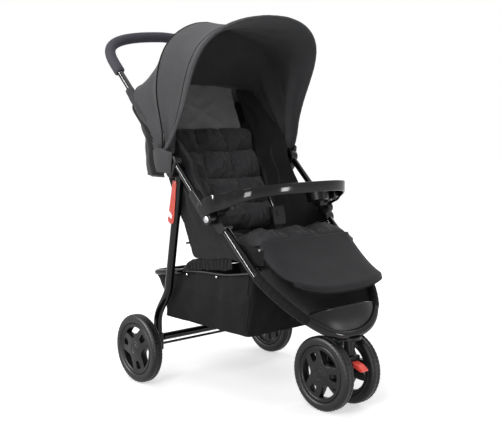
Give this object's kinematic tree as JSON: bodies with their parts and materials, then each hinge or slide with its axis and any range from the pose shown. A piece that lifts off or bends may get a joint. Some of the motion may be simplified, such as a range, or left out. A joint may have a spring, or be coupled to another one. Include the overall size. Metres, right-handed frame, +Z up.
{
  "type": "stroller",
  "caption": "Folding three-wheeled baby stroller with a reclining quilted seat, a snack tray, a leg rest, a tilting canopy, a swivelling front wheel pair and a basket.",
  "frame": {"origin": "On the ground, under the middle of the bounding box.", "axes": "+X is the left side of the child, -Y is the front, +Z is up."},
  "size_m": [0.568, 0.9026, 1.0759],
  "materials": {
    "black_painted_steel": "gloss black powder coat",
    "black_plastic": "satin moulded nylon",
    "gloss_black_plastic": "glossy moulded ABS",
    "zinc_steel": "zinc plated",
    "black_polyester": "woven polyester over foam",
    "grey_black_polyester": "woven polyester",
    "grip_foam": "matt foam",
    "tyre_eva": "matt EVA",
    "red_plastic": "satin moulded"
  },
  "bodies": {
    "frame": {"front_frame_tube": "black_painted_steel", "front_joint_right": "black_plastic", "front_joint_left": "black_plastic", "fold_bolt_right": "zinc_steel", "fold_bolt_left": "zinc_steel", "side_panel_right": "black_polyester", "side_panel_left": "black_polyester", "footplate": "gloss_black_plastic", "caster_cup": "black_plastic", "seat_cross_rod": "zinc_steel", "seat_board": "black_plastic", "seat_cushion": "black_polyester", "leg_rest_rod": "zinc_steel", "recline_rod": "zinc_steel", "calf_panel": "black_polyester", "crotch_strap": "black_polyester", "harness_buckle": "black_plastic"},
    "handle": {"handle_tube": "black_painted_steel", "handle_grip": "grip_foam", "fold_housing_right": "black_plastic", "fold_housing_left": "black_plastic", "upper_joint_right": "black_plastic", "upper_joint_left": "black_plastic", "latch_stud": "zinc_steel", "canopy_rear_panel": "grey_black_polyester", "canopy_skirt": "grey_black_polyester"},
    "canopy_front": {"canopy_front_bow": "black_painted_steel", "canopy_front_panel": "grey_black_polyester"},
    "canopy_middle": {"canopy_mid_bow": "black_painted_steel"},
    "rear_legs": {"rear_leg_right": "black_painted_steel", "rear_leg_left": "black_painted_steel", "rear_cross_tube": "black_painted_steel", "rear_axle": "zinc_steel", "axle_bracket_right": "black_plastic", "axle_bracket_left": "black_plastic", "hook_rivet": "zinc_steel"},
    "brake": {"brake_pedals": "black_plastic"},
    "hook": {"fold_hook": "red_plastic"},
    "rear_wheel_right": {"tyre_rear_right": "tyre_eva", "rim_rear_right": "black_plastic"},
    "rear_wheel_left": {"tyre_rear_left": "tyre_eva", "rim_rear_left": "black_plastic"},
    "link": {"lower_link_tube": "black_painted_steel", "basket": "black_polyester"},
    "caster": {"caster_fork": "black_plastic", "front_axle": "zinc_steel"},
    "lock_lever": {"swivel_lock": "red_plastic"},
    "front_wheel_right": {"tyre_front_right": "tyre_eva", "rim_front_right": "black_plastic"},
    "front_wheel_left": {"tyre_front_left": "tyre_eva", "rim_front_left": "black_plastic"},
    "backrest": {"backrest_board": "black_plastic", "backrest_cushion": "black_polyester"},
    "leg_rest": {"leg_rest_board": "black_plastic", "leg_rest_pad": "black_polyester"},
    "tray": {"tray": "gloss_black_plastic", "cup_holder": "gloss_black_plastic"},
    "tray_button_right": {"tray_button_right": "black_plastic"},
    "tray_button_left": {"tray_button_left": "black_plastic"},
    "buckle_button": {"buckle_button": "red_plastic"}
  },
  "joints": [
    {"name": "fold", "type": "hinge", "parent": "frame", "child": "handle", "pos_m": [0, -0.087, 0.513], "axis": [1, 0, 0], "range_deg": [-110, 0], "deforming": ["canopy_skirt"]},
    {"name": "rear_leg_fold", "type": "hinge", "parent": "handle", "child": "rear_legs", "pos_m": [0, 0.081, 0.635], "axis": [1, 0, 0], "range_deg": [0, 80]},
    {"name": "link_fold", "type": "hinge", "parent": "frame", "child": "link", "pos_m": [0, -0.223, 0.3886], "axis": [1, 0, 0], "range_deg": [-78, 0], "deforming": ["basket"]},
    {"name": "canopy_front", "type": "hinge", "parent": "handle", "child": "canopy_front", "pos_m": [0, 0.113, 0.668], "axis": [1, 0, 0], "range_deg": [-22, 5], "deforming": ["canopy_front_panel"]},
    {"name": "canopy_middle", "type": "hinge", "parent": "handle", "child": "canopy_middle", "pos_m": [0, 0.113, 0.668], "axis": [1, 0, 0], "range_deg": [-12, 3], "deforming": ["canopy_rear_panel"]},
    {"name": "rear_wheel_right", "type": "hinge", "parent": "rear_legs", "child": "rear_wheel_right", "pos_m": [-0.264, 0.213, 0.1025], "axis": [1, 0, 0], "continuous": true},
    {"name": "rear_wheel_left", "type": "hinge", "parent": "rear_legs", "child": "rear_wheel_left", "pos_m": [0.264, 0.213, 0.1025], "axis": [1, 0, 0], "continuous": true},
    {"name": "caster", "type": "hinge", "parent": "frame", "child": "caster", "pos_m": [0, -0.392, 0.152], "axis": [0, 0, 1], "continuous": true},
    {"name": "front_wheel_right", "type": "hinge", "parent": "caster", "child": "front_wheel_right", "pos_m": [-0.052, -0.3475, 0.1025], "axis": [1, 0, 0], "continuous": true},
    {"name": "front_wheel_left", "type": "hinge", "parent": "caster", "child": "front_wheel_left", "pos_m": [0.052, -0.3475, 0.1025], "axis": [1, 0, 0], "continuous": true},
    {"name": "swivel_lock", "type": "hinge", "parent": "caster", "child": "lock_lever", "pos_m": [0, -0.4145, 0.134], "axis": [1, 0, 0], "range_deg": [-18, 0]},
    {"name": "brake", "type": "hinge", "parent": "rear_legs", "child": "brake", "pos_m": [0, 0.244, 0.112], "axis": [1, 0, 0], "range_deg": [-25, 0]},
    {"name": "fold_hook", "type": "hinge", "parent": "rear_legs", "child": "hook", "pos_m": [-0.214, 0.0926, 0.5996], "axis": [1, 0, 0], "range_deg": [-40, 60]},
    {"name": "recline", "type": "hinge", "parent": "frame", "child": "backrest", "pos_m": [0, 0.083, 0.425], "axis": [1, 0, 0], "range_deg": [-28, 0]},
    {"name": "leg_rest", "type": "hinge", "parent": "frame", "child": "leg_rest", "pos_m": [0, -0.2345, 0.4375], "axis": [1, 0, 0], "range_deg": [-32, 0]},
    {"name": "tray_slide", "type": "slide", "parent": "frame", "child": "tray", "axis": [0, -0.9733, 0.2297], "range_m": [0, 0.05]},
    {"name": "tray_button_right", "type": "slide", "parent": "tray", "child": "tray_button_right", "axis": [0, 0, 1], "range_m": [0, 0.003], "stiffness_N_per_m": 300},
    {"name": "tray_button_left", "type": "slide", "parent": "tray", "child": "tray_button_left", "axis": [0, 0, 1], "range_m": [0, 0.003], "stiffness_N_per_m": 300},
    {"name": "buckle_button", "type": "slide", "parent": "frame", "child": "buckle_button", "axis": [0, 0.9827, -0.1852], "range_m": [0, 0.0012], "stiffness_N_per_m": 300}
  ],
  "couplings": [
    {"joint": "rear_leg_fold", "follows": "fold", "ratio": -0.651},
    {"joint": "link_fold", "follows": "fold", "ratio": 0.626},
    {"joint": "canopy_middle", "follows": "canopy_front", "ratio": 0.4}
  ]
}
